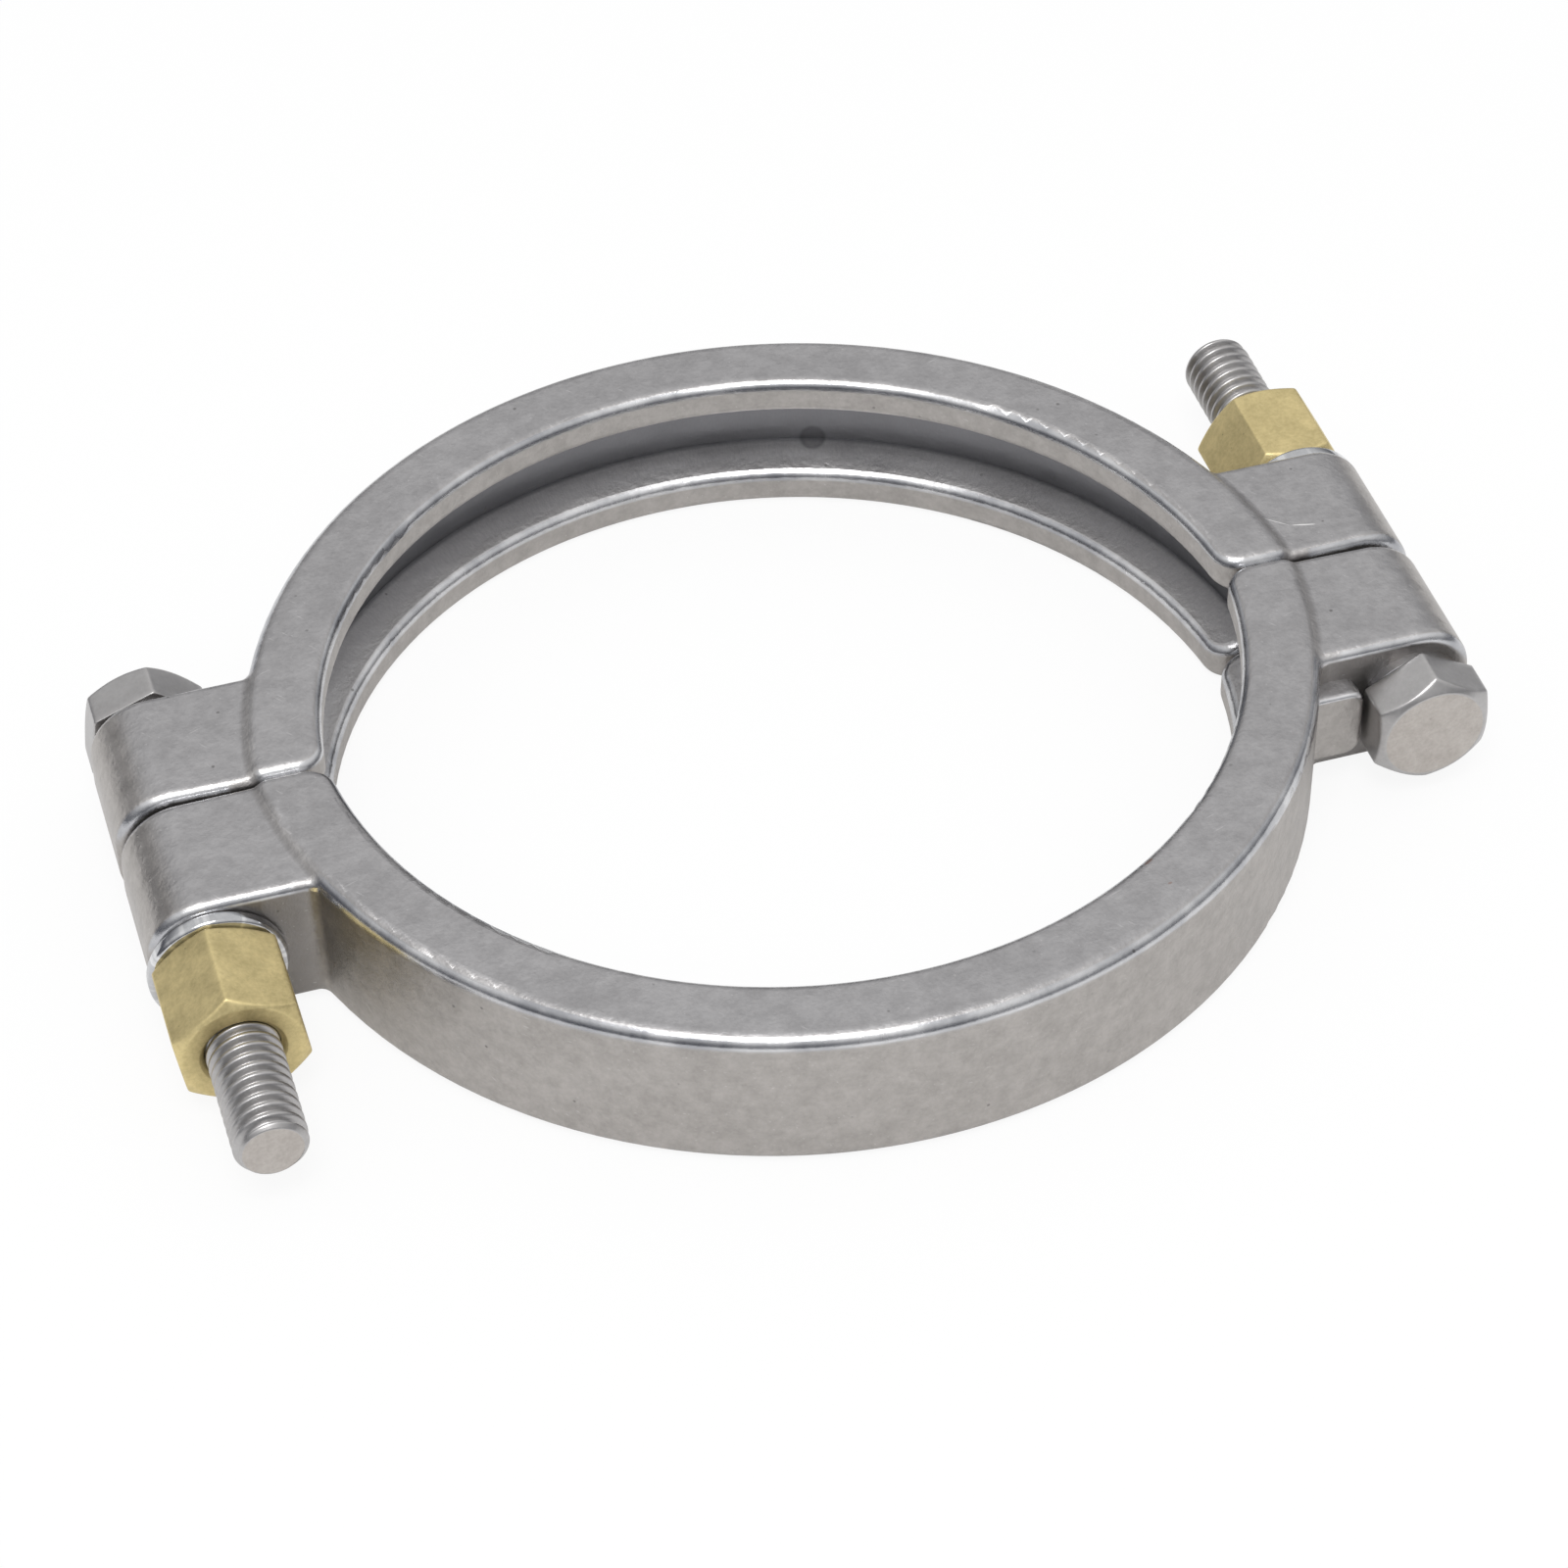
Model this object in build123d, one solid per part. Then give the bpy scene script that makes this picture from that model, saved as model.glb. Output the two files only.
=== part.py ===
from build123d import *
import math
import os

# Two-bolt sanitary pipe clamp: two equal cast half rings drawn together over a ferrule joint.
# Frame: origin on the ring axis at the underside, +Z along the pipe, +X lug to lug, +Y along the bolts.

# ring
groove_radius = 55.3
groove_depth = 4.7
groove_mouth = 9.7
groove_angle = 20.0
wall_thickness = 3.7
ring_height = 18.0
centre_overlap = 3.45
seam_gap = 0.3
outer_round = 1.7
rim_round = 1.3
end_corner_round = 3.2

# lugs
bolt_offset = 7.7
lug_tip = 6.9
lug_root = 8.0
lug_face = 16.5
lug_step = 0.75
lug_corner = 6.6
lug_round = 1.2
lug_root_round = 1.6
lug_setback = 0.1
lug_relief_angle = 1.2
seat_diameter = 12.0
seat_height = 1.4
seat_chamfer = 0.4
hole_clearance = 0.45

# bolt, 5/16-18 UNC, its thread drawn plain at the crest diameter
thread_diameter = 7.9
tip_chamfer = 0.7
bolt_length = 61.8
head_flats = 12.7
head_height = 5.4
hex_chamfer_angle = 30.0
hex_chamfer_start = 0.96

# washer and nut
washer_diameter = 14.9
washer_thickness = 1.7
washer_clearance = 0.3
washer_chamfer = 0.35
nut_flats = 13.3
nut_height = 11.8
nut_running_clearance = 0.06
left_nut_turn = 0.0
right_nut_turn = 30.0

# stop that keeps the bolt head from turning
stop_clearance = 0.35
stop_height = 9.0
stop_projection = 2.65
stop_round = 0.6
stop_corner = 1.8

# how far a block is sunk into the casting that carries it
root_depth = 1.0

ring_radius = groove_radius + wall_thickness
lip_radius = groove_radius - groove_depth
bolt_x = ring_radius + bolt_offset
lug_end = bolt_x + lug_tip
mid_height = ring_height / 2
half_gap = seam_gap / 2
thread_radius = thread_diameter / 2
wall_middle = (groove_radius + ring_radius) / 2
big = 4 * ring_radius
near = 0.01


def groove_points():
    drop = (groove_radius - lip_radius) * math.tan(math.radians(groove_angle))
    mouth_low = mid_height - groove_mouth / 2
    mouth_high = mid_height + groove_mouth / 2
    return mouth_low, mouth_high, mouth_low + drop, mouth_high - drop


def ring_section():
    mouth_low, mouth_high, floor_low, floor_high = groove_points()
    outline = [
        (lip_radius, 0),
        (ring_radius, 0),
        (ring_radius, ring_height),
        (lip_radius, ring_height),
        (lip_radius, mouth_high),
        (groove_radius, floor_high),
        (groove_radius, floor_low),
        (lip_radius, mouth_low),
    ]
    with BuildSketch(Plane.XZ) as section:
        with BuildLine():
            Polyline(*outline, close=True)
        make_face()
        fillet([v for v in section.vertices() if v.X > ring_radius - near], outer_round)
    return section.sketch


def is_end_corner(edge):
    # upright inner corner of a lip, where the ring ends at the parting plane
    middle = edge @ 0.5
    upright = abs(edge.tangent_at(0.5).Z) > 0.9
    reach = math.sqrt(lip_radius ** 2 - (centre_overlap + half_gap) ** 2)
    return upright and middle.Y < half_gap + near and abs(abs(middle.X) - reach) < near


def is_lip_rim(edge):
    # level edges round the mouth and the bore, with the end corners they run into
    box = edge.bounding_box()
    middle = edge @ 0.5
    level = box.max.Z - box.min.Z < near
    radius = math.hypot(middle.X, middle.Y + centre_overlap)
    return level and radius < lip_radius + rim_round and not is_seam_edge(edge)


def is_seam_edge(edge):
    return edge.bounding_box().max.Y < half_gap + near


def is_outer_seam(edge):
    # upright edge that the lug covers
    middle = edge @ 0.5
    return abs(middle.X) > wall_middle and abs(edge.tangent_at(0.5).Z) > 0.9


def ring_arc():
    # the arc's centre lies past the parting plane, so each half is a little less than a half circle
    ring = revolve(ring_section(), Axis.Z, 360)
    ring = Pos(0, -centre_overlap, 0) * ring
    ring = ring & Pos(0, half_gap + big / 2, mid_height) * Box(2 * big, big, big)
    ring = fillet([e for e in ring.edges() if is_end_corner(e)], end_corner_round)
    lips = [e for e in ring.edges() if is_lip_rim(e)]
    ends = [e for e in ring.edges() if is_seam_edge(e) and not is_outer_seam(e)]
    return fillet(lips + ends, rim_round)


def lug_blank():
    root = ring_radius - lug_root
    start = half_gap + lug_setback
    rise = (lug_end - ring_radius) * math.tan(math.radians(lug_relief_angle))
    plan = [
        (root, start),
        (ring_radius, start),
        (lug_end, start + rise),
        (lug_end, lug_face),
        (root, lug_face),
    ]
    with BuildSketch(Plane.XY) as top:
        with BuildLine():
            Polyline(*plan, close=True)
        make_face()
    slab = extrude(top.sketch, ring_height)
    tall = ring_height - 2 * lug_step
    with BuildSketch(Plane.XZ) as front:
        with Locations(((root + lug_end) / 2, mid_height)):
            Rectangle(lug_end - root, tall)
        ends = [v for v in front.vertices() if v.X > lug_end - near]
        fillet(ends, lug_corner)
    bar = extrude(front.sketch, big / 2, both=True)
    blank = slab & bar
    rims = [e for e in blank.edges() if is_lug_rim(e)]
    return fillet(rims, lug_round)


def is_lug_rim(edge):
    middle = edge @ 0.5
    inside = middle.X > ring_radius - lug_root + near
    along_side = abs(edge.tangent_at(0.5).Y) < 0.5
    return inside and along_side


def ring_bore():
    # reaches the middle of the ring's outer wall
    return Pos(0, -centre_overlap, mid_height) * Cylinder(wall_middle, big)


def lug(side):
    blank = lug_blank()
    blank = blank - ring_bore()
    if side < 0:
        blank = mirror(blank, about=Plane.YZ)
    return blank


def is_lug_root(edge):
    # where a lug's outer face meets the ring wall
    middle = edge @ 0.5
    radius = math.hypot(middle.X, middle.Y + centre_overlap)
    return abs(middle.Y - lug_face) < 5 * near and abs(radius - ring_radius) < 5 * near


def seat_pad(side):
    pad = Cylinder(seat_diameter / 2, seat_height + root_depth, align=(Align.CENTER, Align.CENTER, Align.MIN))
    pad = chamfer(pad.edges().group_by(Axis.Z)[-1], seat_chamfer)
    return Pos(side * bolt_x, lug_face - root_depth, mid_height) * Rot(-90, 0, 0) * pad


def head_stop():
    # block beside the head flat, standing on the lug face against the ring wall
    edge = bolt_x - head_flats / 2 - stop_clearance
    tall = stop_projection + root_depth
    block = Box(lug_root, tall, stop_height, align=(Align.MAX, Align.MIN, Align.CENTER))
    block = Pos(edge, lug_face - root_depth, mid_height) * block
    block = fillet([e for e in block.edges().filter_by(Axis.Y) if (e @ 0.5).X > edge - near], stop_corner)
    block = fillet(block.edges().group_by(Axis.Y)[-1], stop_round)
    return mirror(block - ring_bore(), about=Plane.YZ)


def bolt_hole(side):
    hole = Cylinder(thread_radius + hole_clearance, big)
    return Pos(side * bolt_x, 0, mid_height) * Rot(90, 0, 0) * hole


def clamp_half():
    # rear half: head seat and stop on its left lug, washer face on its right lug
    body = ring_arc()
    for side in (-1, 1):
        body = body + lug(side)
    body = fillet([e for e in body.edges() if is_lug_root(e)], lug_root_round)
    body = body + seat_pad(-1) + head_stop()
    for side in (-1, 1):
        body = body - bolt_hole(side)
    return body.solid()


def hex_prism(flats, height, cut_low, cut_high):
    prism = extrude(RegularPolygon(flats / 2, 6, major_radius=False, rotation=30), height)
    slope = math.tan(math.radians(hex_chamfer_angle))
    reach = flats
    start = flats / 2 * hex_chamfer_start
    drop = (reach - start) * slope
    profile = [(0, 0), (start, 0), (reach, drop), (reach, height - drop), (start, height), (0, height)]
    if not cut_low:
        profile[1:3] = [(reach, 0)]
    if not cut_high:
        profile[-3:-1] = [(reach, height)]
    with BuildSketch(Plane.XZ) as side:
        with BuildLine():
            Polyline(*profile, close=True)
        make_face()
    return prism & revolve(side.sketch, Axis.Z, 360)


def bolt():
    # head from z = 0 up to head_height, shank below
    head = hex_prism(head_flats, head_height, False, True)
    shank = Cylinder(thread_radius, bolt_length, align=(Align.CENTER, Align.CENTER, Align.MAX))
    shank = chamfer(shank.edges().group_by(Axis.Z)[0], tip_chamfer)
    return head + shank


def washer():
    ring = Cylinder(washer_diameter / 2, washer_thickness, align=(Align.CENTER, Align.CENTER, Align.MIN))
    ring = chamfer(ring.edges(), washer_chamfer)
    return ring - Cylinder(thread_radius + washer_clearance, big)


def nut(turn):
    body = hex_prism(nut_flats, nut_height, True, True)
    body = body - Cylinder(thread_radius + nut_running_clearance, big)
    return Rot(0, 0, turn) * body


def placed(shape, x, y, toward_rear):
    # stand a Z-built piece on the bolt axis, its +Z toward the rear or the front
    turn = Rot(-90, 0, 0) if toward_rear else Rot(90, 0, 0)
    return Pos(x, y, mid_height) * turn * shape


def save(shape, name):
    solid = shape.solid()
    solid.label = name
    export_step(solid, "parts/" + name + ".step")
    print(name, round(solid.volume, 1), solid.is_valid)


def build():
    os.makedirs("parts", exist_ok=True)
    rear = clamp_half()
    front = Rot(0, 0, 180) * rear
    head_seat = lug_face + seat_height
    nut_seat = lug_face + washer_thickness
    save(rear, "rear_half")
    save(front, "front_half")
    save(placed(bolt(), -bolt_x, head_seat, True), "left_bolt")
    save(placed(bolt(), bolt_x, -head_seat, False), "right_bolt")
    save(placed(washer(), -bolt_x, -lug_face, False), "left_washer")
    save(placed(washer(), bolt_x, lug_face, True), "right_washer")
    save(placed(nut(left_nut_turn), -bolt_x, -nut_seat, False), "left_nut")
    save(placed(nut(right_nut_turn), bolt_x, nut_seat, True), "right_nut")


build()
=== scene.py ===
import math
import bpy
import numpy as np
from mathutils import Matrix, Vector


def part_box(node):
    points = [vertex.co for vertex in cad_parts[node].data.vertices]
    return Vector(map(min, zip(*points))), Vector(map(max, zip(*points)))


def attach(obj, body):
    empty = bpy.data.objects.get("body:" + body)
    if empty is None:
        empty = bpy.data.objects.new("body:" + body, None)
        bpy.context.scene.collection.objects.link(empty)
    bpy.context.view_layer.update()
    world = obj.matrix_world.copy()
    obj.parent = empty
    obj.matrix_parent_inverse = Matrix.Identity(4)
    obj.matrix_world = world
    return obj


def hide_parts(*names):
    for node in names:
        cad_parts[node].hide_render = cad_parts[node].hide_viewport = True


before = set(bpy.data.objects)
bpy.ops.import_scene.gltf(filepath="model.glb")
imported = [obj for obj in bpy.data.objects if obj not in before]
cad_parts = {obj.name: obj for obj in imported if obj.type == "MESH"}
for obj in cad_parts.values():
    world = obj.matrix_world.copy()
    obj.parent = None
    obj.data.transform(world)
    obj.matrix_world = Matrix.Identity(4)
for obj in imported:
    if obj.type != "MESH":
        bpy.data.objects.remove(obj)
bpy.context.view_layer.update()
mm = 0.001


def addNode(tree, kind, **values):
    # a new node: a value whose name the node knows is a setting, any other is an input
    node = tree.nodes.new(kind)
    for key, value in values.items():
        if hasattr(node, key):
            setattr(node, key, value)
        else:
            node.inputs[key].default_value = value
    return node


def mathNode(tree, operation, a, b=None, c=None, clamp=False):
    node = tree.nodes.new("ShaderNodeMath")
    node.operation = operation
    node.use_clamp = clamp
    for socket, value in zip(node.inputs, (a, b, c)):
        if value is None:
            continue
        if isinstance(value, (int, float)):
            socket.default_value = value
        else:
            tree.links.new(value, socket)
    return node.outputs[0]


def multiply(tree, first, *others):
    total = first
    for value in others:
        total = mathNode(tree, "MULTIPLY", total, value)
    return total


def absolute(tree, value):
    return mathNode(tree, "ABSOLUTE", value)


def rampNode(tree, value, low, high, outLow=0.0, outHigh=1.0):
    # smooth step from low to high
    node = tree.nodes.new("ShaderNodeMapRange")
    node.interpolation_type = "SMOOTHSTEP"
    node.inputs["From Min"].default_value = low
    node.inputs["From Max"].default_value = high
    node.inputs["To Min"].default_value = outLow
    node.inputs["To Max"].default_value = outHigh
    tree.links.new(value, node.inputs["Value"])
    return node.outputs["Result"]


def fadeNode(tree, value, low, high):
    # smooth step down: 1 below low, 0 above high
    return rampNode(tree, value, low, high, 1.0, 0.0)


def mixColors(tree, factor, a, b):
    node = tree.nodes.new("ShaderNodeMix")
    node.data_type = "RGBA"
    for name, value in (("Factor_Float", factor), ("A_Color", a), ("B_Color", b)):
        socket = [s for s in node.inputs if s.identifier == name][0]
        if isinstance(value, tuple):
            socket.default_value = (*value, 1.0)
        else:
            tree.links.new(value, socket)
    return [s for s in node.outputs if s.identifier == "Result_Color"][0]


def coat(tree, color, mask, share, over):
    # lays a share of another colour over this one, where the mask is
    return mixColors(tree, multiply(tree, mask, share), color, over)


def splitVector(tree, vector):
    parts = addNode(tree, "ShaderNodeSeparateXYZ")
    tree.links.new(vector, parts.inputs["Vector"])
    return parts.outputs["X"], parts.outputs["Y"], parts.outputs["Z"]


def joinVector(tree, x, y, z):
    whole = addNode(tree, "ShaderNodeCombineXYZ")
    for socket, value in zip(whole.inputs, (x, y, z)):
        tree.links.new(value, socket)
    return whole.outputs["Vector"]


def newGroup(name, inputs, outputs):
    # inputs: name and starting value, where None stands for a vector; the outputs are plain numbers
    group = bpy.data.node_groups.new(name, "ShaderNodeTree")
    for label, value in inputs.items():
        kind = "NodeSocketVector" if value is None else "NodeSocketFloat"
        socket = group.interface.new_socket(label, in_out="INPUT", socket_type=kind)
        if value is not None:
            socket.default_value = value
    for label in outputs:
        group.interface.new_socket(label, in_out="OUTPUT", socket_type="NodeSocketFloat")
    return group, group.nodes.new("NodeGroupInput").outputs, group.nodes.new("NodeGroupOutput").inputs


def useGroup(tree, group, values):
    node = tree.nodes.new("ShaderNodeGroup")
    node.node_tree = group
    for key, value in values.items():
        socket = node.inputs[key]
        if isinstance(value, (int, float, tuple)):
            socket.default_value = value
        else:
            tree.links.new(value, socket)
    return node.outputs


def pickedCells(tree, vector, scale, channel, core, pick):
    # middles of the few cells whose random value is high: a middle fades out over the distances in core,
    # and a cell comes in over the random values in pick
    cells = addNode(tree, "ShaderNodeTexVoronoi", Randomness=1.0)
    tree.links.new(vector, cells.inputs["Vector"])
    tree.links.new(scale, cells.inputs["Scale"])
    chosen = addNode(tree, "ShaderNodeSeparateColor")
    tree.links.new(cells.outputs["Color"], chosen.inputs["Color"])
    middles = fadeNode(tree, cells.outputs["Distance"], *core)
    return multiply(tree, middles, rampNode(tree, chosen.outputs[channel], *pick))


# scales of the patterns, in cells per metre
grainScales = {"Blotch Scale": 130.0, "Dent Scale": 520.0, "Grain Scale": 2000.0, "Pit Scale": 420.0}
# each noise: scale, detail, roughness, and the range that is spread from 0 to 1
grainNoises = {
    "Blotch": ("Blotch Scale", 4.0, 0.6, 0.3, 0.7),
    "Dents": ("Dent Scale", 3.0, 0.55, 0.28, 0.72),
    "Grain": ("Grain Scale", 3.0, 0.65, 0.25, 0.75),
}
pitCells = {"core": (0.04, 0.11), "pick": (0.7, 0.95)}


def makeGrainGroup():
    # blotches, dents, fine grain and tiny pits of a tumbled metal surface: noise and cells over the vector
    group, inp, out = newGroup(
        "metalGrain", {"Vector": None, **grainScales}, ["Blotch", "Dents", "Grain", "Pits"])
    for label, (scale, detail, roughness, low, high) in grainNoises.items():
        noise = addNode(group, "ShaderNodeTexNoise", Detail=detail, Roughness=roughness)
        group.links.new(inp["Vector"], noise.inputs["Vector"])
        group.links.new(inp[scale], noise.inputs["Scale"])
        group.links.new(rampNode(group, noise.outputs["Fac"], low, high), out[label])
    pits = pickedCells(group, inp["Vector"], inp["Pit Scale"], "Red", **pitCells)
    group.links.new(pits, out["Pits"])
    return group


scratchSize = {
    "cell": (7.0 * mm, 0.5 * mm, 0.5 * mm),  # length and widths
    "directions": ((0.35, 0.05, 3.0), (-0.9, 0.12, 11.0), (2.1, -0.6, 23.0)),  # turn, tilt, shift
    "sideShift": 0.7, "core": (0.06, 0.2), "pick": (0.8, 0.95),
}


def makeScratchGroup(size):
    # short fine scratches: the middles of a few long thin cells, along three turned directions
    group, inp, out = newGroup("fineScratches", {"Vector": None, "Scale": 1.0}, ["Mask"])
    total = None
    for turn, tilt, shift in size["directions"]:
        spin = addNode(group, "ShaderNodeMapping", vector_type="TEXTURE")
        spin.inputs["Rotation"].default_value = (0.0, tilt, turn)
        spin.inputs["Location"].default_value = (shift, shift * size["sideShift"], 0)
        spin.inputs["Scale"].default_value = size["cell"]
        group.links.new(inp["Vector"], spin.inputs["Vector"])
        mask = pickedCells(group, spin.outputs["Vector"], inp["Scale"], "Green", size["core"], size["pick"])
        total = mask if total is None else mathNode(group, "ADD", total, mask, clamp=True)
    group.links.new(total, out["Mask"])
    return group


# where the castings' forms lie; a pair is the range over which a mask comes or goes
castingSize = {
    "arcOffset": 3.45 * mm,  # an arc's centre lies this far past the middle, on the other half's side
    "stepRadius": 59.6 * mm, "stepWidth": (1.1 * mm, 2.0 * mm),  # where a lug's top drops from the ring's
    "footRadius": 58.8 * mm, "footWidth": (0.1 * mm, 0.6 * mm),  # the foot of that drop
    "lugSide": (15.5 * mm, 17.2 * mm), "lugFace": (17.1 * mm, 17.4 * mm),
    "lugRoot": (54.0 * mm, 58.0 * mm),
    "roundStart": 66.2 * mm, "roundFade": 1.5 * mm,  # a lug's big rounded end
    "grooveLow": 4.4 * mm, "grooveHigh": 13.6 * mm, "grooveFade": 0.6 * mm,
    "grooveRadius": 55.8 * mm, "radiusFade": 0.3 * mm, "grooveFloor": (54.6 * mm, 55.3 * mm),
    "boltX": 66.7 * mm, "boltZ": 9.0 * mm,
}
# how steep a surface is where each mask comes or goes, as parts of a unit normal
slopes = {
    "rise": (0.06, 0.3), "edge": (0.8, 0.93), "top": (0.8, 0.98), "foot": (0.3, 0.6),
    "endWise": (0.12, 0.45), "face": (0.75, 0.97),
}
# the step also loses the painted edge highlight that goes with the polish
stepSatin = 0.75  # share of the polish that the step loses


def arcRadius(tree, x, y, offset):
    # distance from the arc's own centre: the length of x and of y moved out by the offset
    away = mathNode(tree, "ADD", absolute(tree, y), offset)
    square = mathNode(tree, "MULTIPLY_ADD", x, x, multiply(tree, away, away))
    return mathNode(tree, "SQRT", square), away


def makeRoundGroup(size):
    # how far a normal lies between level and upright: the small rolled edges of a flat-sided casting.
    # Past Reach, normals with no y part belong to the big round of a lug and are left out.
    group, inp, out = newGroup(
        "rolledEdges", {"Vector": None, "Normal": None, "Reach": size["roundStart"]},
        ["Mask", "Top", "Round", "Face", "Foot"])
    _, normalY, normalZ = splitVector(group, inp["Normal"])
    x, y, _ = splitVector(group, inp["Vector"])
    wide, deep = absolute(group, x), absolute(group, y)
    up = absolute(group, normalZ)
    rolled = multiply(group, rampNode(group, normalZ, *slopes["rise"]), fadeNode(group, up, *slopes["edge"]))
    # the step where a lug meets the ring is only satin, with a thin line of painted shade at its foot
    radius, _ = arcRadius(group, x, y, size["arcOffset"])
    offStep = absolute(group, mathNode(group, "SUBTRACT", radius, size["stepRadius"]))
    offFoot = absolute(group, mathNode(group, "SUBTRACT", radius, size["footRadius"]))
    nearLug = rampNode(group, deep, *size["lugSide"], stepSatin, 0.0)
    satin = multiply(group, fadeNode(group, offStep, *size["stepWidth"]), nearLug)
    rolled = multiply(group, rolled, mathNode(group, "SUBTRACT", 1.0, satin))
    foot = multiply(group, fadeNode(group, offFoot, *size["footWidth"]), nearLug)
    group.links.new(multiply(group, foot, rampNode(group, normalZ, *slopes["foot"])), out["Foot"])
    past = mathNode(group, "SUBTRACT", wide, inp["Reach"])
    endWise = fadeNode(group, absolute(group, normalY), *slopes["endWise"])
    bigRound = multiply(group, rampNode(group, past, 0.0, size["roundFade"]), endWise)
    group.links.new(multiply(group, rolled, mathNode(group, "SUBTRACT", 1.0, bigRound)), out["Mask"])
    group.links.new(rampNode(group, up, *slopes["top"]), out["Top"])
    group.links.new(bigRound, out["Round"])
    # lug faces, which get painted shade: normals along y, between the two lug face planes, outside the ring's
    # wall
    along = rampNode(group, absolute(group, normalY), *slopes["face"])
    between = fadeNode(group, deep, *size["lugFace"])
    group.links.new(multiply(group, along, between, rampNode(group, wide, *size["lugRoot"])), out["Face"])
    return group


brushing = {"around": 230.0, "across": 1300.0, "detail": 3.0, "roughness": 0.7, "range": (0.3, 0.72)}


def makeGrooveGroup(size):
    # the inside of the groove: a band of height and of distance from the arc's centre, its floor, where shade
    # is painted, and fine short brushing across the arc
    group, inp, out = newGroup(
        "turnedGroove",
        {"Vector": None, "Low": size["grooveLow"], "High": size["grooveHigh"], "Radius": size["grooveRadius"],
         "Offset": size["arcOffset"]},
        ["Mask", "Lines", "Floor"])
    x, y, z = splitVector(group, inp["Vector"])
    radius, away = arcRadius(group, x, y, inp["Offset"])
    above = rampNode(group, mathNode(group, "SUBTRACT", z, inp["Low"]), 0.0, size["grooveFade"])
    below = rampNode(group, mathNode(group, "SUBTRACT", inp["High"], z), 0.0, size["grooveFade"])
    inside = rampNode(group, mathNode(group, "SUBTRACT", inp["Radius"], radius), 0.0, size["radiusFade"])
    group.links.new(multiply(group, above, below, inside), out["Mask"])
    group.links.new(rampNode(group, radius, *size["grooveFloor"]), out["Floor"])
    turn = mathNode(group, "ARCTAN2", away, x)
    across = brushing["across"]
    stretched = joinVector(group, multiply(group, turn, brushing["around"]), multiply(group, z, across),
                           multiply(group, radius, across))
    lines = addNode(group, "ShaderNodeTexNoise", Scale=1.0, Detail=brushing["detail"],
                    Roughness=brushing["roughness"])
    group.links.new(stretched, lines.inputs["Vector"])
    group.links.new(rampNode(group, lines.outputs["Fac"], *brushing["range"]), out["Lines"])
    return group


markEdge = {"fade": (0.72, 1.0), "rim": (0.45, 0.8)}  # parts of the way from a mark's middle to its edge


def makeMarkGroup():
    # one spot or stroke: a ball about Place, turned by Turn and stretched to Size
    group, inp, out = newGroup(
        "surfaceMark", {"Vector": None, "Place": None, "Turn": None, "Size": None}, ["Mask", "Rim"])
    local = addNode(group, "ShaderNodeMapping", vector_type="TEXTURE")
    sockets = {"Vector": "Vector", "Place": "Location", "Turn": "Rotation", "Size": "Scale"}
    for label, socket in sockets.items():
        group.links.new(inp[label], local.inputs[socket])
    far = addNode(group, "ShaderNodeVectorMath", operation="LENGTH")
    group.links.new(local.outputs["Vector"], far.inputs[0])
    mask = fadeNode(group, far.outputs["Value"], *markEdge["fade"])
    group.links.new(mask, out["Mask"])
    outer = rampNode(group, far.outputs["Value"], *markEdge["rim"])
    group.links.new(multiply(group, mask, outer), out["Rim"])
    return group


wedgeSize = {"rays": 2.6, "along": 40.0, "scale": 2.2, "detail": 2.0, "roughness": 0.5, "range": (0.5, 0.64)}


def makeWedgeGroup(size):
    # painted sheen: bright rays round a level bolt axis, one on each side: noise over the angle about the axis
    group, inp, out = newGroup(
        "sheenWedges",
        {"Vector": None, "Axis X": size["boltX"], "Axis Z": size["boltZ"], "Rays": wedgeSize["rays"]}, ["Mask"])
    x, y, z = splitVector(group, inp["Vector"])
    level = mathNode(group, "SUBTRACT", absolute(group, x), inp["Axis X"])
    height = mathNode(group, "SUBTRACT", z, inp["Axis Z"])
    turn = mathNode(group, "ARCTAN2", height, level)
    ray = joinVector(group, multiply(group, mathNode(group, "COSINE", turn), inp["Rays"]),
                     multiply(group, mathNode(group, "SINE", turn), inp["Rays"]),
                     multiply(group, y, wedgeSize["along"]))
    noise = addNode(group, "ShaderNodeTexNoise", Scale=wedgeSize["scale"], Detail=wedgeSize["detail"],
                    Roughness=wedgeSize["roughness"])
    group.links.new(ray, noise.inputs["Vector"])
    group.links.new(rampNode(group, noise.outputs["Fac"], *wedgeSize["range"]), out["Mask"])
    return group


grainGroup = makeGrainGroup()
scratchGroup = makeScratchGroup(scratchSize)
roundGroup = makeRoundGroup(castingSize)
grooveGroup = makeGrooveGroup(castingSize)
markGroup = makeMarkGroup()
wedgeGroup = makeWedgeGroup(castingSize)


def newMaterial(name):
    material = bpy.data.materials.new(name)
    material.use_nodes = True
    tree = material.node_tree
    tree.nodes.clear()
    shader = tree.nodes.new("ShaderNodeBsdfPrincipled")
    shader.inputs["Metallic"].default_value = 1.0
    output = tree.nodes.new("ShaderNodeOutputMaterial")
    tree.links.new(shader.outputs[0], output.inputs[0])
    return material, tree, shader


def baseRoughness(tree, blotch, look):
    # the blotches swing the roughness about its middle
    swing = look["roughSwing"]
    return mathNode(tree, "MULTIPLY_ADD", blotch, swing, look["roughness"] - swing / 2)


def addBump(tree, shader, height, strength, distance):
    bump = tree.nodes.new("ShaderNodeBump")
    bump.inputs["Strength"].default_value = strength
    bump.inputs["Distance"].default_value = distance
    tree.links.new(height, bump.inputs["Height"])
    tree.links.new(bump.outputs["Normal"], shader.inputs["Normal"])


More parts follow.
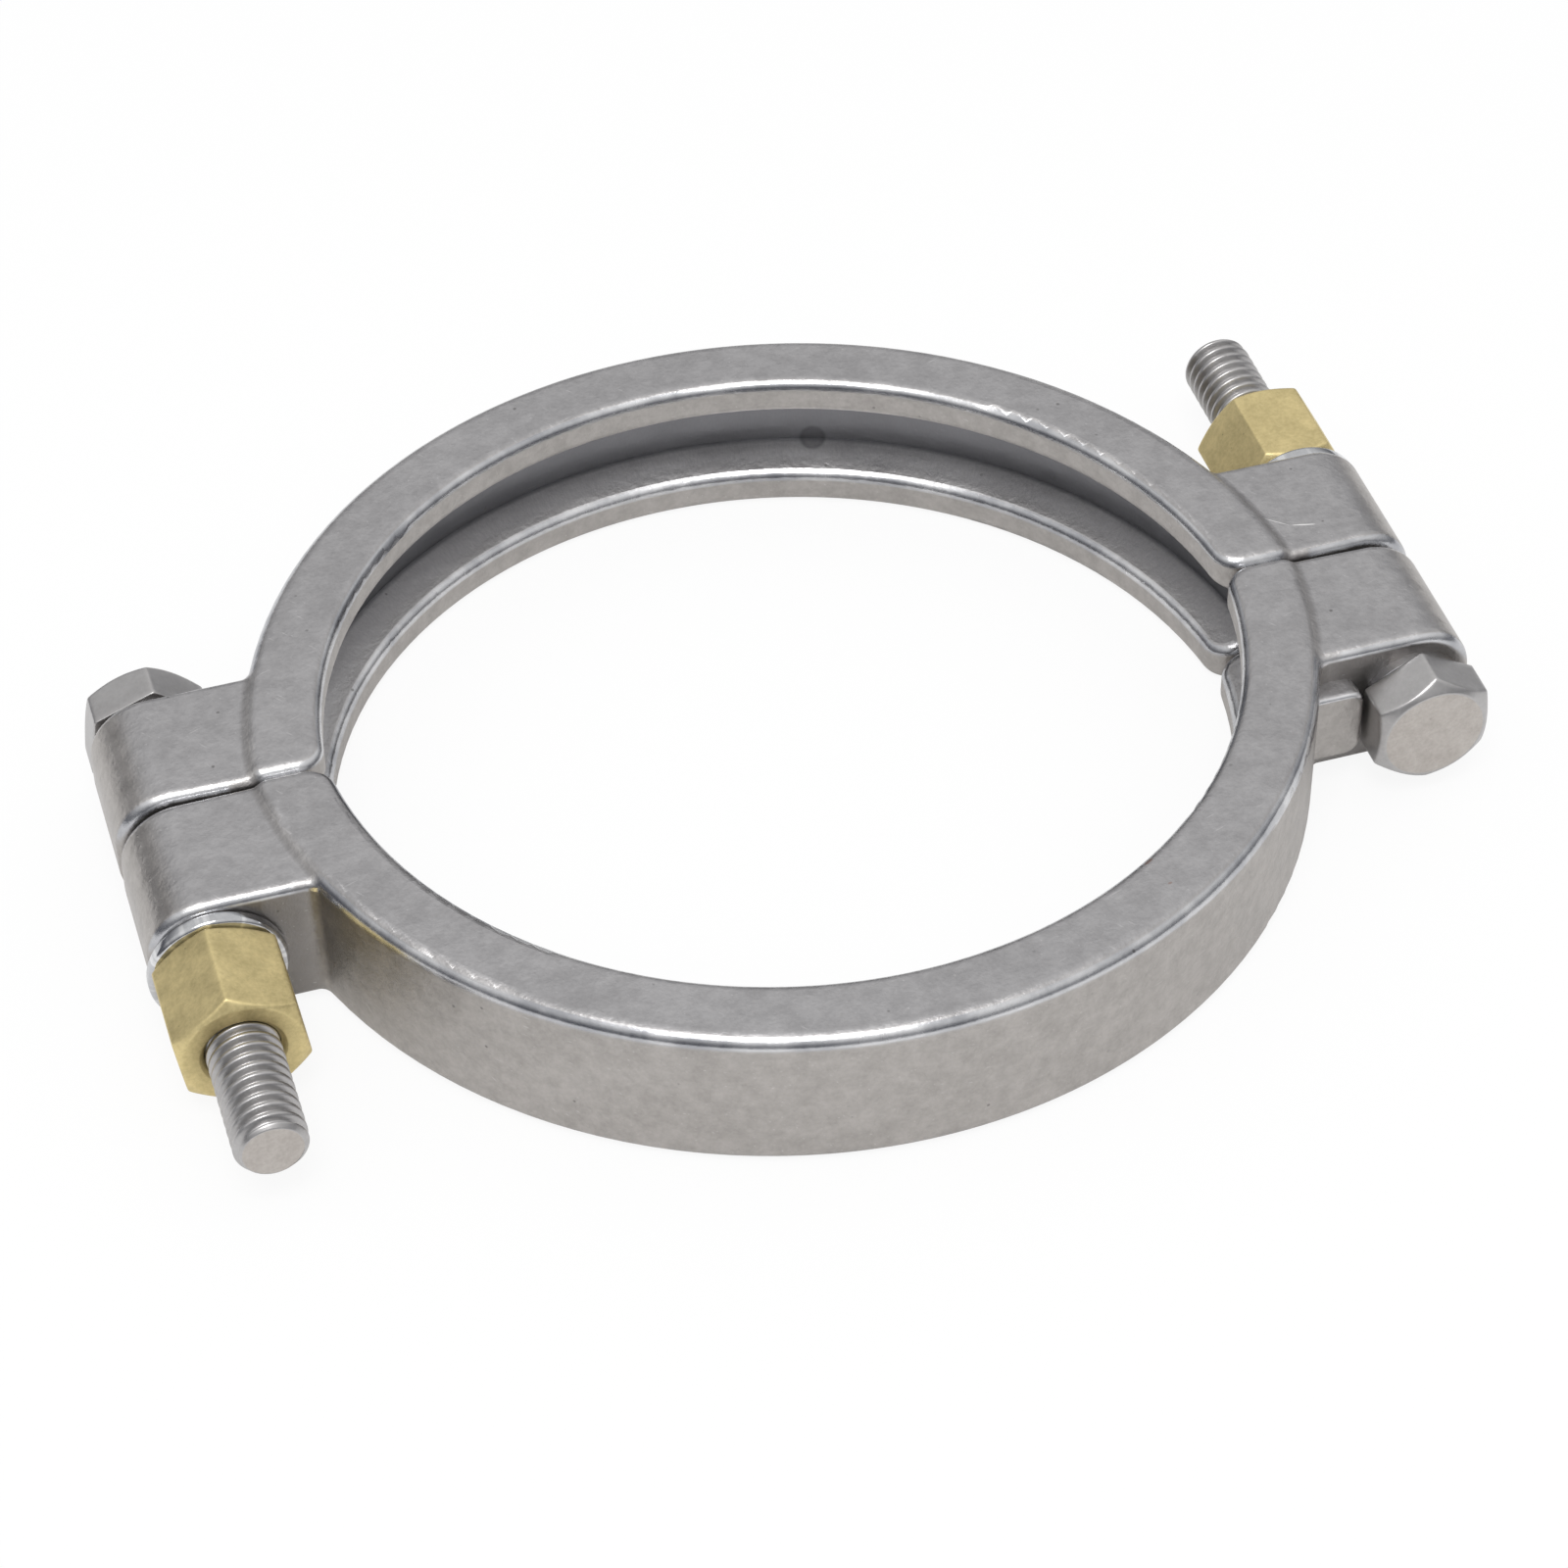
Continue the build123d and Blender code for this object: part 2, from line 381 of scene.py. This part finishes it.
castLook = {
    # the walls get a warmer grey than the tops as painted light: the tone each side shows under these lamps
    "topColor": (0.495, 0.487, 0.492), "topDark": (0.355, 0.348, 0.353),
    "wallColor": (0.515, 0.49, 0.47), "wallDark": (0.355, 0.336, 0.32),
    # the bright and the dark edge colours: painted highlight and painted dark reflection on the rolled edges
    "edgeHighlightColor": (0.78, 0.785, 0.80), "edgeDarkReflection": (0.40, 0.41, 0.44),
    "grooveColor": (0.435, 0.43, 0.44), "grooveLight": (0.505, 0.50, 0.505),
    # the next two: painted shade on the groove's floor, and painted shade on the lug faces and at the foot of
    # the step
    "floorShadeColor": (0.165, 0.165, 0.177), "paintedShadeColor": (0.25, 0.238, 0.232),
    "pitColor": (0.17, 0.165, 0.16), "scratchColor": (0.75, 0.74, 0.74),
    "grainShare": 0.32, "blotchShare": 0.33, "dentShare": 0.35,  # what makes up the light and dark pattern
    "faceShadeShare": 0.8, "footShadeShare": 0.55, "floorShadeShare": 0.85, "edgeHighlightShare": 0.85, "pitShare": 0.75,
    "scratchShare": 0.35, "grooveScratch": 0.05,
    "roughness": 0.45, "edgeRoughness": 0.25, "roundRoughness": 0.36, "grooveRoughness": 0.32,
    "roughSwing": 0.08, "bump": 0.28, "bumpDepth": 0.08 * mm, "dentHeight": 1.8, "pitHeight": -1.6,
    "stillness": 0.8, "grooveStill": 0.9,  # how far the bump is calmed on edges, and in the groove
}
# marks on the castings: kind, place, turn about z in degrees, half sizes, strength, all lengths in mm
castMarks = (
    ("stain", (18.3, 48.7, 6.0), 0.0, (1.75, 1.75, 1.9), 0.4),
    ("stroke", (61.95, 4.6, 17.25), -14.0, (1.5, 0.11, 0.5), 1.0),
    ("stroke", (59.2, 6.0, 17.25), -40.0, (1.7, 0.08, 0.5), 0.6),
    ("rust", (26.9, -40.3, 18.0), 33.0, (0.75, 0.3, 0.5), 0.6),
    ("rust", (27.9, -44.0, 18.0), 10.0, (0.3, 0.16, 0.5), 0.5),
)
markLook = {
    "stain": (0.09, 0.089, 0.096), "stroke": (0.95, 0.94, 0.93), "rust": (0.3, 0.17, 0.13),
    "stainRim": 0.4,  # how much darker a stain is towards its rim
}


def makeCastSteel(look, marks):
    # level faces and walls in their own greys, the walls warmer as painted light, broken up by grain, blotches
    # and dents;
    # over them, in turn, painted shade on the lug faces and at the step's foot, the groove with painted shade
    # on its floor, the edges' polish with painted highlight and reflection, scratches, pits and the single
    # marks
    material, tree, shader = newMaterial("castSteel")
    where = addNode(tree, "ShaderNodeTexCoord")
    place = where.outputs["Object"]
    grain = useGroup(tree, grainGroup, {"Vector": place})
    scratch = useGroup(tree, scratchGroup, {"Vector": place})
    rolled = useGroup(tree, roundGroup, {"Vector": place, "Normal": where.outputs["Normal"]})
    groove = useGroup(tree, grooveGroup, {"Vector": place})
    shade = multiply(tree, grain["Blotch"], look["blotchShare"])
    shade = mathNode(tree, "MULTIPLY_ADD", grain["Grain"], look["grainShare"], shade)
    shade = mathNode(tree, "MULTIPLY_ADD", grain["Dents"], look["dentShare"], shade)
    # tops and walls mixed by which way a surface faces: painted light
    top = mixColors(tree, shade, look["topDark"], look["topColor"])
    wall = mixColors(tree, shade, look["wallDark"], look["wallColor"])
    # painted shade laid over the lug faces
    wall = coat(tree, wall, rolled["Face"], look["faceShadeShare"], look["paintedShadeColor"])
    color = mixColors(tree, rolled["Top"], wall, top)
    # a thin line of painted shade at the foot of the step
    color = coat(tree, color, rolled["Foot"], look["footShadeShare"], look["paintedShadeColor"])
    turned = mixColors(tree, groove["Lines"], look["grooveColor"], look["grooveLight"])
    # painted shade on the groove's floor
    turned = coat(tree, turned, groove["Floor"], look["floorShadeShare"], look["floorShadeColor"])
    color = mixColors(tree, groove["Mask"], color, turned)
    edge = multiply(tree, rolled["Mask"], mathNode(tree, "SUBTRACT", 1.0, groove["Mask"]))
    # the edges' polish is partly painted: a painted highlight and a painted dark reflection, mixed by the
    # blotches
    polishAndHighlight = mixColors(tree, grain["Blotch"], look["edgeDarkReflection"], look["edgeHighlightColor"])
    color = coat(tree, color, edge, look["edgeHighlightShare"], polishAndHighlight)
    lessInGroove = look["grooveScratch"] - look["scratchShare"]
    scratchShare = mathNode(tree, "MULTIPLY_ADD", groove["Mask"], lessInGroove, look["scratchShare"])
    color = coat(tree, color, scratch["Mask"], scratchShare, look["scratchColor"])
    color = coat(tree, color, grain["Pits"], look["pitShare"], look["pitColor"])
    for kind, spot, turn, size, strength in marks:
        mark = useGroup(tree, markGroup, {
            "Vector": place, "Place": tuple(v * mm for v in spot), "Turn": (0.0, 0.0, math.radians(turn)),
            "Size": tuple(v * mm for v in size)})
        mask = mark["Mask"]
        if kind == "stain":
            mask = mathNode(tree, "MULTIPLY_ADD", mark["Rim"], markLook["stainRim"], mask)
        share = mathNode(tree, "MULTIPLY", mask, strength, clamp=True)
        color = mixColors(tree, share, color, markLook[kind])
    tree.links.new(color, shader.inputs["Base Color"])
    rough = baseRoughness(tree, grain["Blotch"], look)
    smoother = {"edgeRoughness": edge, "grooveRoughness": groove["Mask"], "roundRoughness": rolled["Round"]}
    for label, mask in smoother.items():
        rough = mathNode(tree, "SUBTRACT", rough, multiply(tree, mask, look["roughness"] - look[label]))
    tree.links.new(rough, shader.inputs["Roughness"])
    height = mathNode(tree, "MULTIPLY_ADD", grain["Dents"], look["dentHeight"], grain["Grain"])
    height = mathNode(tree, "MULTIPLY_ADD", grain["Pits"], look["pitHeight"], height)
    still = mathNode(tree, "MAXIMUM", edge, multiply(tree, groove["Mask"], look["grooveStill"]))
    calm = mathNode(tree, "MULTIPLY_ADD", still, -look["stillness"], 1.0)
    addBump(tree, shader, multiply(tree, height, calm), look["bump"], look["bumpDepth"])
    return material


boltLook = {
    "color": (0.52, 0.51, 0.507), "darkColor": (0.42, 0.41, 0.407), "scratchColor": (0.72, 0.70, 0.68),
    "speckColor": (0.2, 0.19, 0.18), "specks": 0.3, "roughness": 0.36, "bump": 0.06,
    "scales": {"Blotch Scale": 300.0, "Grain Scale": 1800.0, "Pit Scale": 420.0},
}
boltFaceLook = {
    "color": (0.58, 0.548, 0.516), "darkColor": (0.43, 0.395, 0.368), "scratchColor": (0.7, 0.67, 0.64),
    "speckColor": (0.16, 0.15, 0.14), "specks": 0.4, "roughness": 0.46, "bump": 0.2,
    "scales": {"Blotch Scale": 420.0, "Grain Scale": 2600.0, "Pit Scale": 500.0},
}
washerLook = {
    "color": (0.58, 0.585, 0.6), "darkColor": (0.46, 0.465, 0.48), "scratchColor": (0.9, 0.9, 0.9),
    "speckColor": (0.35, 0.35, 0.35), "specks": 0.2, "roughness": 0.14, "bump": 0.05,
    "scales": {"Blotch Scale": 200.0, "Grain Scale": 1500.0, "Pit Scale": 300.0},
    "wedgeSheen": 0.5, "wedgeSheenColor": (0.97, 0.97, 0.97),
}
nutLook = {
    "color": (0.84, 0.71, 0.385), "darkColor": (0.58, 0.48, 0.24), "scratchColor": (0.88, 0.78, 0.5),
    "speckColor": (0.2, 0.165, 0.09), "specks": 0.75, "roughness": 0.5, "bump": 0.14,
    "scales": {"Blotch Scale": 300.0, "Grain Scale": 2000.0, "Pit Scale": 800.0},
}
# what the turned pieces' finishes have in common
turnedLook = {
    "blotchShare": 0.55, "grainShare": 0.45, "scratchScale": 1.8, "scratchShare": 0.4,
    "gather": (0.1, 0.6, 1.0, 0.15),  # specks thin out over this range of the blotches, and by how much
    "roughSwing": 0.08, "pitHeight": -1.2, "bumpDepth": 0.05 * mm,
}


def makeTurnedMetal(name, ownLook):
    # a light and a dark tone mixed by blotches and grain, with scratches, painted sheen rays and gathered
    # specks over them
    look = {**turnedLook, **ownLook}
    material, tree, shader = newMaterial(name)
    place = addNode(tree, "ShaderNodeTexCoord").outputs["Object"]
    grain = useGroup(tree, grainGroup, {"Vector": place, **look["scales"]})
    scratch = useGroup(tree, scratchGroup, {"Vector": place, "Scale": look["scratchScale"]})
    shade = multiply(tree, grain["Grain"], look["grainShare"])
    shade = mathNode(tree, "MULTIPLY_ADD", grain["Blotch"], look["blotchShare"], shade)
    color = mixColors(tree, shade, look["darkColor"], look["color"])
    color = coat(tree, color, scratch["Mask"], look["scratchShare"], look["scratchColor"])
    if "wedgeSheen" in look:
        # painted sheen: bright rays on the washer
        wedge = useGroup(tree, wedgeGroup, {"Vector": place})
        color = coat(tree, color, wedge["Mask"], look["wedgeSheen"], look["wedgeSheenColor"])
    gather = rampNode(tree, grain["Blotch"], *look["gather"])
    color = coat(tree, color, multiply(tree, grain["Pits"], gather), look["specks"], look["speckColor"])
    tree.links.new(color, shader.inputs["Base Color"])
    tree.links.new(baseRoughness(tree, grain["Blotch"], look), shader.inputs["Roughness"])
    height = mathNode(tree, "MULTIPLY_ADD", grain["Pits"], look["pitHeight"], grain["Grain"])
    addBump(tree, shader, height, look["bump"], look["bumpDepth"])
    return material


castSteel = makeCastSteel(castLook, castMarks)
boltSteel = makeTurnedMetal("boltSteel", boltLook)
boltFace = makeTurnedMetal("boltFace", boltFaceLook)
washerSteel = makeTurnedMetal("washerSteel", washerLook)
nutBrass = makeTurnedMetal("nutBrass", nutLook)
print("materials ready")


def surfaceMesh(name, grid, closedRows=False, poles=(), sharpAngle=None):
    # grid: rows x columns x 3, the columns go round; the rows join end to end, or the first and the last
    # row each close at a pole. The faces are turned outwards by the sign of the volume.
    rows, cols = grid.shape[:2]
    points = grid.reshape(-1, 3)
    lastRow = rows if closedRows else rows - 1
    i, j = np.meshgrid(np.arange(lastRow), np.arange(cols), indexing="ij")
    down = (i + 1) % rows
    side = (j + 1) % cols
    quads = np.stack([i * cols + j, i * cols + side, down * cols + side, down * cols + j], -1).reshape(-1, 4)
    fans = []
    k = np.arange(cols)
    for pole, row, turned in zip(poles, (0, rows - 1), (True, False)):
        points = np.vstack([points, pole])
        fan = np.stack([row * cols + k, row * cols + (k + 1) % cols, np.full(cols, len(points) - 1)], -1)
        fans.append(fan[:, ::-1] if turned else fan)
    tris = np.vstack([quads[:, [0, 1, 2]], quads[:, [0, 2, 3]]] + fans)
    a, b, c = points[tris[:, 0]], points[tris[:, 1]], points[tris[:, 2]]
    volume = np.einsum("ij,ij->i", a, np.cross(b, c)).sum()
    if volume < 0:
        quads = quads[:, ::-1]
        fans = [fan[:, ::-1] for fan in fans]
    faces = quads.tolist()
    for fan in fans:
        faces += fan.tolist()
    mesh = bpy.data.meshes.new(name)
    mesh.from_pydata(points.tolist(), [], faces)
    mesh.polygons.foreach_set("use_smooth", np.ones(len(faces), bool))
    if sharpAngle:
        mesh.set_sharp_from_angle(angle=math.radians(sharpAngle))
    mesh.update()
    piece = bpy.data.objects.new(name, mesh)
    bpy.context.scene.collection.objects.link(piece)
    return piece


def hexAngles(perFlat):
    # angles round a hexagon, crowded towards its six corners
    u = (np.arange(perFlat) + 0.5) / perFlat * 2 - 1
    sector = np.radians(30) * np.sin(u * np.pi / 2)
    return (np.radians(60) * np.arange(6)[:, None] + sector[None, :]).reshape(-1)


def hexRadius(angle, flats, hardness=70.0):
    # rounded hexagon: the three flat directions joined by a power mean
    total = 0.0
    for k in range(3):
        total = total + np.abs(np.cos(angle - k * np.pi / 3) * 2 / flats) ** hardness
    return total ** (-1 / hardness)


def softMin(a, b, hardness=60.0):
    # the smaller of two radii, rounded where they cross
    return (a ** -hardness + b ** -hardness) ** (-1 / hardness)


def onAxis(radius, along, angle, origin, way):
    # ring points about a level axis: way is the y direction of travel, right handed
    x = origin[0] + way * radius * np.cos(angle)
    y = origin[1] + way * along + 0 * radius
    z = origin[2] - radius * np.sin(angle)
    return np.stack(np.broadcast_arrays(x, y, z), -1)


def smooth(t):
    t = np.clip(t, 0, 1)
    return t * t * (3 - 2 * t)


def stackRows(rows, angle):
    # radius all round and distance along the axis, for each ring of points
    radius = np.stack([np.broadcast_to(r, angle.shape) for r, s in rows])
    return radius, np.array([s for r, s in rows])


def chamferSlope(size):
    # how fast the chamfer's cone widens with depth
    return 1 / math.tan(math.radians(size["chamferAngle"]))


boltSize = {
    "shank": 7.9 * mm, "flats": 12.7 * mm, "headHeight": 5.4 * mm, "seatReach": 1.0 * mm,
    "cornerRound": 0.18 * mm, "faceRadius": 5.8 * mm, "chamferAngle": 36.0, "chamferStart": 0.02 * mm,
    "pitch": 25.4 / 18 * mm, "threadDepth": 0.72 * mm, "threadLength": 30.3 * mm, "rowsPerPitch": 16,
    "runOut": 1.5, "crest": (0.04, 0.78),  # turns over which the thread fades, and its rounded profile
    "tipRadius": 3.25 * mm, "tipAngle": 45.0, "tipHardness": 26.0,
    # rings of points: per flat, over the head's face and the tip as parts of the radius there, crowded
    # along the chamfer down to a depth, and below it
    "perFlat": 18, "faceRings": (0.3, 0.6, 0.85, 0.97), "tipRings": (0.985, 0.93, 0.75, 0.5, 0.25),
    "chamferRings": 16, "chamferDepth": 1.3 * mm, "sideRings": (2.2 * mm, 3.6 * mm, 4.6 * mm),
    "flatNormal": 0.995,  # an end's faces point along the axis by at least this much
}


def makeBolt(name, size, length, origin, way, turned, phase):
    # head: a hexagon cut by a flat cone towards its face, softly joined
    angle = hexAngles(size["perFlat"]) + turned
    shank = size["shank"] / 2
    head = size["headHeight"]
    face = size["faceRadius"]
    rows = [(face * share, -head) for share in size["faceRings"]]
    hexagon = hexRadius(angle - turned, size["flats"])
    nearFace = np.linspace(size["chamferStart"], size["chamferDepth"], size["chamferRings"])
    for depth in [*nearFace, *size["sideRings"]]:
        cone = face + (depth - size["chamferStart"]) * chamferSlope(size)
        rows.append((softMin(hexagon, cone), -head + depth))
    under = size["cornerRound"]
    for t in np.radians([0, 30, 60, 90]):
        rows.append((hexagon - under * (1 - np.cos(t)), -under * (1 - np.sin(t))))
    rows.append((shank + size["seatReach"], 0.0))
    start = length - size["threadLength"]
    for along in (0.0, 0.4 * mm, start * 0.3, start * 0.6, start - 0.2 * mm):
        rows.append((shank, along))
    radius, along = stackRows(rows, angle)
    # thread: ridge height from the fraction of a turn at each point, cut by a cone at the tip
    threadRows = int(size["threadLength"] / size["pitch"] * size["rowsPerPitch"])
    s = np.linspace(start, length, threadRows)[:, None]
    turn = s / size["pitch"] - angle[None, :] / (2 * np.pi) + phase
    ridge = np.abs(2 * (turn % 1.0) - 1)
    height = smooth((ridge - size["crest"][0]) / size["crest"][1])
    fade = smooth((s - start) / (size["runOut"] * size["pitch"]))
    thread = shank - size["threadDepth"] * fade * (1 - height)
    tip = size["tipRadius"] + (length - s) * math.tan(math.radians(size["tipAngle"]))
    thread = softMin(thread, tip * np.ones_like(thread), size["tipHardness"])
    tipRows = np.array(size["tipRings"])[:, None] * thread[-1].mean() * np.ones_like(angle)
    tipAlong = [length - 0.01 * mm] + [length] * (len(tipRows) - 1)
    grid = onAxis(np.vstack([radius, thread, tipRows]), np.concatenate([along, s[:, 0], tipAlong])[:, None],
                  angle[None, :], origin, way)
    poles = (Vector((origin[0], origin[1] - way * head, origin[2])),
             Vector((origin[0], origin[1] + way * length, origin[2])))
    piece = surfaceMesh(name, grid, poles=poles)
    # the two flat ends take the second material
    polygons = piece.data.polygons
    normals, centres = np.empty(len(polygons) * 3), np.empty(len(polygons) * 3)
    polygons.foreach_get("normal", normals)
    polygons.foreach_get("center", centres)
    flat = np.abs(normals.reshape(-1, 3)[:, 1]) > size["flatNormal"]
    reach = way * (centres.reshape(-1, 3)[:, 1] - origin[1])
    ends = flat & ((reach < -0.9 * head) | (reach > length - 0.1 * mm))
    polygons.foreach_set("material_index", ends.astype(np.int32))
    return piece


nutSize = {
    "flats": 13.3 * mm, "height": 11.8 * mm, "bore": 8.02 * mm, "sink": 0.55 * mm,
    "faceRadius": 6.35 * mm, "chamferAngle": 30.0, "chamferReach": 1.35 * mm, "edge": 0.02 * mm,
    "perFlat": 18, "chamferRings": 15, "sideRings": (0.3, 0.5, 0.7), "sharpAngle": 32,
}


def makeNut(name, size, origin, way, turn):
    # a hexagon cut by a cone at both faces, carried up the outside, over the far face, down the bore
    # with a small countersink at each end, and back
    angle = hexAngles(size["perFlat"])
    hexagon = hexRadius(angle, size["flats"])
    full, bore, sink, edge = size["height"], size["bore"] / 2, size["sink"], size["edge"]
    nearFace = np.linspace(0.0, size["chamferReach"], size["chamferRings"])
    side = [share * full for share in size["sideRings"]]
    steps = np.concatenate([nearFace, side, full - nearFace[::-1]])
    rows = []
    for s in steps:
        cone = size["faceRadius"] + min(s, full - s) * chamferSlope(size)
        rows.append((softMin(hexagon, cone), s))
    # the inside from one face: the face, the countersink's softened mouth, its foot and the bore, each as
    # a radius and a depth below that face
    inside = [(size["faceRadius"] * 0.97, 0.0), (bore + sink * 1.15, 0.0), (bore + sink, 1.5 * edge),
              (bore + edge, sink), (bore, sink * 1.2)]
    rows += [(r, full - depth) for r, depth in inside]
    rows += [(r, depth) for r, depth in inside[::-1]]
    radius, along = stackRows(rows, angle)
    grid = onAxis(radius, along[:, None], angle[None, :] + turn, origin, way)
    return surfaceMesh(name, grid, closedRows=True, sharpAngle=size["sharpAngle"])


washerSize = {
    "diameter": 14.9 * mm, "hole": 8.5 * mm, "thickness": 1.7 * mm,
    "rimRound": 0.55 * mm, "holeRound": 0.2 * mm, "around": 144, "perCorner": 9, "sharpAngle": 40,
}


def makeWasher(name, size, origin, way):
    # a rounded rectangle carried round the bolt: big rounds at the rim, small ones at the hole
    angle = np.linspace(0, 2 * np.pi, size["around"], endpoint=False)
    outer, inner, thick = size["diameter"] / 2, size["hole"] / 2, size["thickness"]
    profile = []
    corners = [(outer, 0.0, size["rimRound"], -90), (outer, thick, size["rimRound"], 0),
               (inner, thick, size["holeRound"], 90), (inner, 0.0, size["holeRound"], 180)]
    for r, s, radius, first in corners:
        cr = r - radius if r == outer else r + radius
        cs = s + radius if s == 0.0 else s - radius
        t = np.radians(np.linspace(first, first + 90, size["perCorner"]))
        profile.append(np.stack([cr + radius * np.cos(t), cs + radius * np.sin(t)], -1))
    profile = np.vstack(profile)
    grid = onAxis(profile[:, 0][:, None], profile[:, 1][:, None], angle[None, :], origin, way)
    return surfaceMesh(name, grid, closedRows=True, sharpAngle=size["sharpAngle"])


def seatOf(node, way):
    # the point on the bolt axis where a solid starts, and how long it is along the axis
    low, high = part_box(node)
    middle = (low + high) / 2
    return middle.x, low.y if way > 0 else high.y, middle.z, high.y - low.y


def dress(piece, material, body, node):
    piece.data.materials.append(material)
    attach(piece, body)
    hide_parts(node)


# left set: the head is at the rear, so the bolt runs towards -y; the right set is the reverse.
# The turns are in degrees, the phase of the thread in turns.
sets = {
    "left": {"way": -1, "boltBody": "rear_clamp", "washerBody": "front_clamp", "nutBody": "left_nut",
             "nutTurn": 7.5, "headTurn": -8.5, "phase": 0.1},
    "right": {"way": 1, "boltBody": "front_clamp", "washerBody": "rear_clamp", "nutBody": "right_nut",
              "nutTurn": 32.0, "headTurn": 0.0, "phase": 0.45},
}
for sideName, item in sets.items():
    way = item["way"]
    x, y, z, whole = seatOf(sideName + "_bolt", way)
    head = boltSize["headHeight"]
    bolt = makeBolt(sideName + "_bolt_threaded", boltSize, whole - head, (x, y + way * head, z), way,
                    math.radians(item["headTurn"]), item["phase"])
    dress(bolt, boltSteel, item["boltBody"], sideName + "_bolt")
    bolt.data.materials.append(boltFace)
    x, y, z, whole = seatOf(sideName + "_washer", way)
    washer = makeWasher(sideName + "_washer_round", washerSize, (x, y, z), way)
    dress(washer, washerSteel, item["washerBody"], sideName + "_washer")
    x, y, z, whole = seatOf(sideName + "_nut", way)
    nut = makeNut(sideName + "_nut_brass", nutSize, (x, y, z), way, math.radians(item["nutTurn"]))
    dress(nut, nutBrass, item["nutBody"], sideName + "_nut")
print("fasteners ready")

for half in ("rear_half", "front_half"):
    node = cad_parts[half]
    for slot in node.material_slots:
        slot.material = castSteel
print("castings dressed")


floorLook = {
    "reach": 6.0, "drop": 0.1 * mm, "paper": (0.9, 0.9, 0.9, 1),
    "seenGlow": 0.9, "mirroredGlow": 0.2,  # how much of it shines by itself, seen straight and in the metal
}


def makeFloor(look):
    # one large square that shows nearly white, and is a lit sheet of paper to everything else
    mesh = bpy.data.meshes.new("floor")
    r = look["reach"]
    mesh.from_pydata([(-r, -r, 0), (r, -r, 0), (r, r, 0), (-r, r, 0)], [], [(0, 1, 2, 3)])
    floor = bpy.data.objects.new("floor", mesh)
    floor.location.z = -look["drop"]
    bpy.context.scene.collection.objects.link(floor)
    material = bpy.data.materials.new("floorWhite")
    material.use_nodes = True
    tree = material.node_tree
    tree.nodes.clear()
    paper = addNode(tree, "ShaderNodeBsdfDiffuse", Color=look["paper"])
    glow = addNode(tree, "ShaderNodeEmission", Color=(1, 1, 1, 1), Strength=1.0)
    path = addNode(tree, "ShaderNodeLightPath")
    mirrored = mathNode(tree, "MAXIMUM", path.outputs["Is Glossy Ray"], path.outputs["Is Transmission Ray"])
    share = mathNode(tree, "MAXIMUM", multiply(tree, path.outputs["Is Camera Ray"], look["seenGlow"]),
                     multiply(tree, mirrored, look["mirroredGlow"]))
    mix = addNode(tree, "ShaderNodeMixShader")
    out = addNode(tree, "ShaderNodeOutputMaterial")
    tree.links.new(share, mix.inputs[0])
    tree.links.new(paper.outputs[0], mix.inputs[1])
    tree.links.new(glow.outputs[0], mix.inputs[2])
    tree.links.new(mix.outputs[0], out.inputs[0])
    mesh.materials.append(material)


makeFloor(floorLook)

skyLook = {
    "leanX": 0.08, "leanY": 0.05, "heights": (0.03, 0.72),
    "low": (0.13, 0.134, 0.152), "high": (0.86, 0.86, 0.86),
}


def makeSky(look):
    # soft room light: grey overhead, leaning to the right and the rear, dark along the horizon
    world = bpy.data.worlds.new("studio")
    world.use_nodes = True
    tree = world.node_tree
    tree.nodes.clear()
    x, y, z = splitVector(tree, addNode(tree, "ShaderNodeTexCoord").outputs["Generated"])
    lean = mathNode(tree, "MULTIPLY_ADD", x, look["leanX"], multiply(tree, y, look["leanY"]))
    up = rampNode(tree, mathNode(tree, "ADD", z, lean), *look["heights"])
    glow = addNode(tree, "ShaderNodeBackground", Strength=1.0)
    out = addNode(tree, "ShaderNodeOutputWorld")
    tree.links.new(mixColors(tree, up, look["low"], look["high"]), glow.inputs["Color"])
    tree.links.new(glow.outputs[0], out.inputs[0])
    bpy.context.scene.world = world


makeSky(skyLook)

lamp = {"place": (-0.2, -0.52, 1.15), "aim": (0, 0, 0), "size": 0.5, "power": 7.0}


def makeLamp(name, look):
    data = bpy.data.lights.new(name, "AREA")
    data.size = look["size"]
    data.energy = look["power"]
    light = bpy.data.objects.new(name, data)
    light.location = look["place"]
    aim = Vector(look["aim"]) - Vector(look["place"])
    light.rotation_euler = aim.to_track_quat("-Z", "Y").to_euler()
    bpy.context.scene.collection.objects.link(light)


makeLamp("frontLamp", lamp)

shot = {"azimuth": -16.39, "elevation": 44.22, "roll": -0.95, "distance": 0.5039, "lens": 104.66,
        "aim": (-0.0002, -0.0003), "sensorWidth": 36, "clipStart": 0.01}


def sidesOf(back):
    # the level direction to the right of a view, and the one that completes it upwards
    right = (-back).cross(Vector((0, 0, 1))).normalized()
    return right, right.cross(-back)


def makeCamera(view):
    # on a sphere about the origin, looking a little beside it, then rolled about the line of sight
    azimuth = math.radians(view["azimuth"])
    elevation = math.radians(view["elevation"])
    roll = math.radians(view["roll"])
    level = math.cos(elevation)
    back = Vector((math.sin(azimuth) * level, -math.cos(azimuth) * level, math.sin(elevation)))
    place = back * view["distance"]
    right, up = sidesOf(back)
    target = right * view["aim"][0] + up * view["aim"][1]
    back = (place - target).normalized()
    right, up = sidesOf(back)
    turnedRight = right * math.cos(roll) + up * math.sin(roll)
    turnedUp = up * math.cos(roll) - right * math.sin(roll)
    data = bpy.data.cameras.new("camera")
    data.sensor_width = view["sensorWidth"]
    data.lens = view["lens"]
    data.clip_start = view["clipStart"]
    camera = bpy.data.objects.new("camera", data)
    camera.matrix_world = Matrix((
        (turnedRight.x, turnedUp.x, back.x, place.x),
        (turnedRight.y, turnedUp.y, back.y, place.y),
        (turnedRight.z, turnedUp.z, back.z, place.z),
        (0, 0, 0, 1)))
    bpy.context.scene.collection.objects.link(camera)
    bpy.context.scene.camera = camera


makeCamera(shot)
bpy.context.scene.view_settings.view_transform = "Standard"

print("scene ready")
